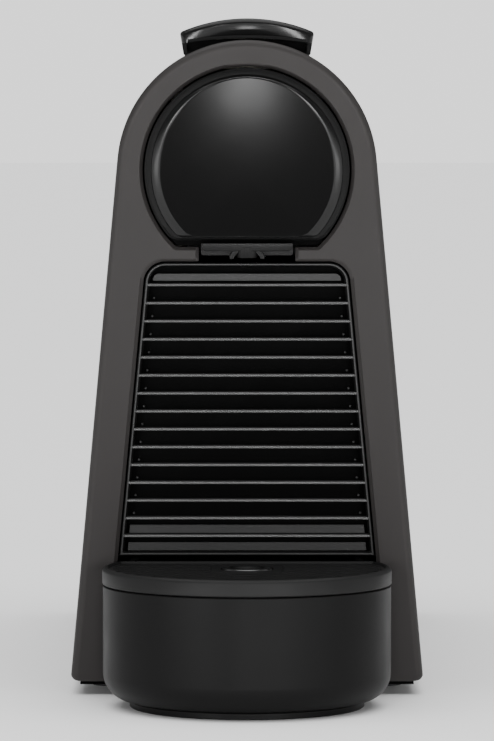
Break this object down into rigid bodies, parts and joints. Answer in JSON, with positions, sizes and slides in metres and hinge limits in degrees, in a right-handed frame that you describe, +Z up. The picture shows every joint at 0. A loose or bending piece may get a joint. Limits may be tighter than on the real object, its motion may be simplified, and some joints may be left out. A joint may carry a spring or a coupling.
{
  "type": "pod coffee machine",
  "caption": "Slim pod coffee machine with an arch-shaped housing, lever lid, glossy round head cover, ribbed capsule bin, round drip tray and rear water tank.",
  "frame": {"origin": "middle of the bounding box on the surface that the feet and the drip tray stand on", "axes": "+X to the right seen from the front, +Y from the drip tray back to the water tank, +Z up"},
  "size_m": [0.1092, 0.325, 0.2086],
  "materials": {
    "shell_grey": "warm dark grey moulding with a fine matt texture",
    "cover_gloss": "piano black, high gloss",
    "grille_black": "black, semi-gloss slat edges",
    "lever_black": "black, satin gloss",
    "satin_black": "black, satin",
    "matt_black": "black, matt",
    "rubber": "black, soft",
    "steel": "stainless, brushed",
    "aluminium": "cast",
    "brass": "turned",
    "silicone_hose": "translucent white silicone",
    "natural_nylon": "unpigmented moulding",
    "board_green": "solder mask",
    "coil_winding": "varnished winding under tape",
    "tank_smoke": "smoked transparent, gloss"
  },
  "bodies": {
    "machine_body": {"base_plate": "matt_black", "board_capacitor": "satin_black", "board_relay": "matt_black", "board_transformer": "coil_winding", "brew_frame_left": "natural_nylon", "brew_frame_right": "natural_nylon", "bulkhead_screw_1": "steel", "bulkhead_screw_2": "steel", "bulkhead_screw_3": "steel", "button_board": "board_green", "capsule_funnel": "satin_black", "coffee_outlet": "satin_black", "control_board": "board_green", "cord_gland": "rubber", "flow_meter": "natural_nylon", "foot_front_left": "rubber", "foot_front_right": "rubber", "foot_rear_left": "rubber", "foot_rear_right": "rubber", "head_bezel": "matt_black", "head_cover": "cover_gloss", "heater_bracket": "steel", "hose_heater_to_head": "silicone_hose", "hose_meter_to_pump": "silicone_hose", "hose_pump_to_heater": "silicone_hose", "hose_tank_to_meter": "silicone_hose", "housing_shell": "shell_grey", "injector_block": "natural_nylon", "lever_pivot_left": "steel", "lever_pivot_right": "steel", "mains_terminal": "natural_nylon", "piercing_plate": "steel", "pump_coil": "coil_winding", "pump_core_tube": "natural_nylon", "pump_damper_lower": "rubber", "pump_damper_upper": "rubber", "rear_bulkhead": "matt_black", "switch_large_cup": "matt_black", "switch_small_cup": "matt_black", "tank_socket": "natural_nylon", "thermoblock": "aluminium", "thermostat": "steel"},
    "lever": {"lever": "lever_black", "crank_pin": "steel"},
    "cage": {"capsule_cage": "steel", "cage_carrier": "natural_nylon", "injector_tube": "steel"},
    "small_cup_button": {"button_small_cup": "satin_black"},
    "large_cup_button": {"button_large_cup": "satin_black"},
    "pump_plunger": {"pump_piston": "steel"},
    "tray": {"drip_tray": "satin_black", "cup_grid": "satin_black", "drip_dish": "satin_black"},
    "used_capsule_bin": {"capsule_bin": "matt_black", "bin_grille": "grille_black"},
    "tank": {"water_tank": "tank_smoke", "tank_valve": "natural_nylon", "tank_poppet": "brass", "lid_hinge_pin": "steel"},
    "lid": {"tank_lid": "satin_black"}
  },
  "joints": [
    {"name": "lever_hinge", "type": "hinge", "parent": "machine_body", "child": "lever", "pos_m": [0, -0.045, 0.184], "axis": [-1, 0, 0], "range_deg": [0, 75]},
    {"name": "cage_slide", "type": "slide", "parent": "machine_body", "child": "cage", "axis": [0, 1, 0], "range_m": [0, 0.0135]},
    {"name": "small_cup_press", "type": "slide", "parent": "machine_body", "child": "small_cup_button", "axis": [0.2806, 0, -0.9598], "range_m": [0, 0.0012], "stiffness_N_per_m": 300},
    {"name": "large_cup_press", "type": "slide", "parent": "machine_body", "child": "large_cup_button", "axis": [-0.2806, 0, -0.9598], "range_m": [0, 0.0012], "stiffness_N_per_m": 300},
    {"name": "pump_stroke", "type": "slide", "parent": "machine_body", "child": "pump_plunger", "axis": [0, 0, 1], "range_m": [-0.002, 0.002], "stiffness_N_per_m": 600},
    {"name": "tray_slide", "type": "slide", "parent": "machine_body", "child": "tray", "axis": [0, -1, 0], "range_m": [0, 0.14]},
    {"name": "bin_slide", "type": "slide", "parent": "tray", "child": "used_capsule_bin", "axis": [0, -1, 0], "range_m": [0, 0.08]},
    {"name": "tank_lift", "type": "slide", "parent": "machine_body", "child": "tank", "axis": [0, 0, 1], "range_m": [0, 0.12]},
    {"name": "lid_hinge", "type": "hinge", "parent": "tank", "child": "lid", "pos_m": [0, 0.1488, 0.1666], "axis": [-1, 0, 0], "range_deg": [0, 100]}
  ],
  "couplings": [
    {"joint": "cage_slide", "follows": "lever_hinge", "m_per_rad": 0.010222}
  ]
}
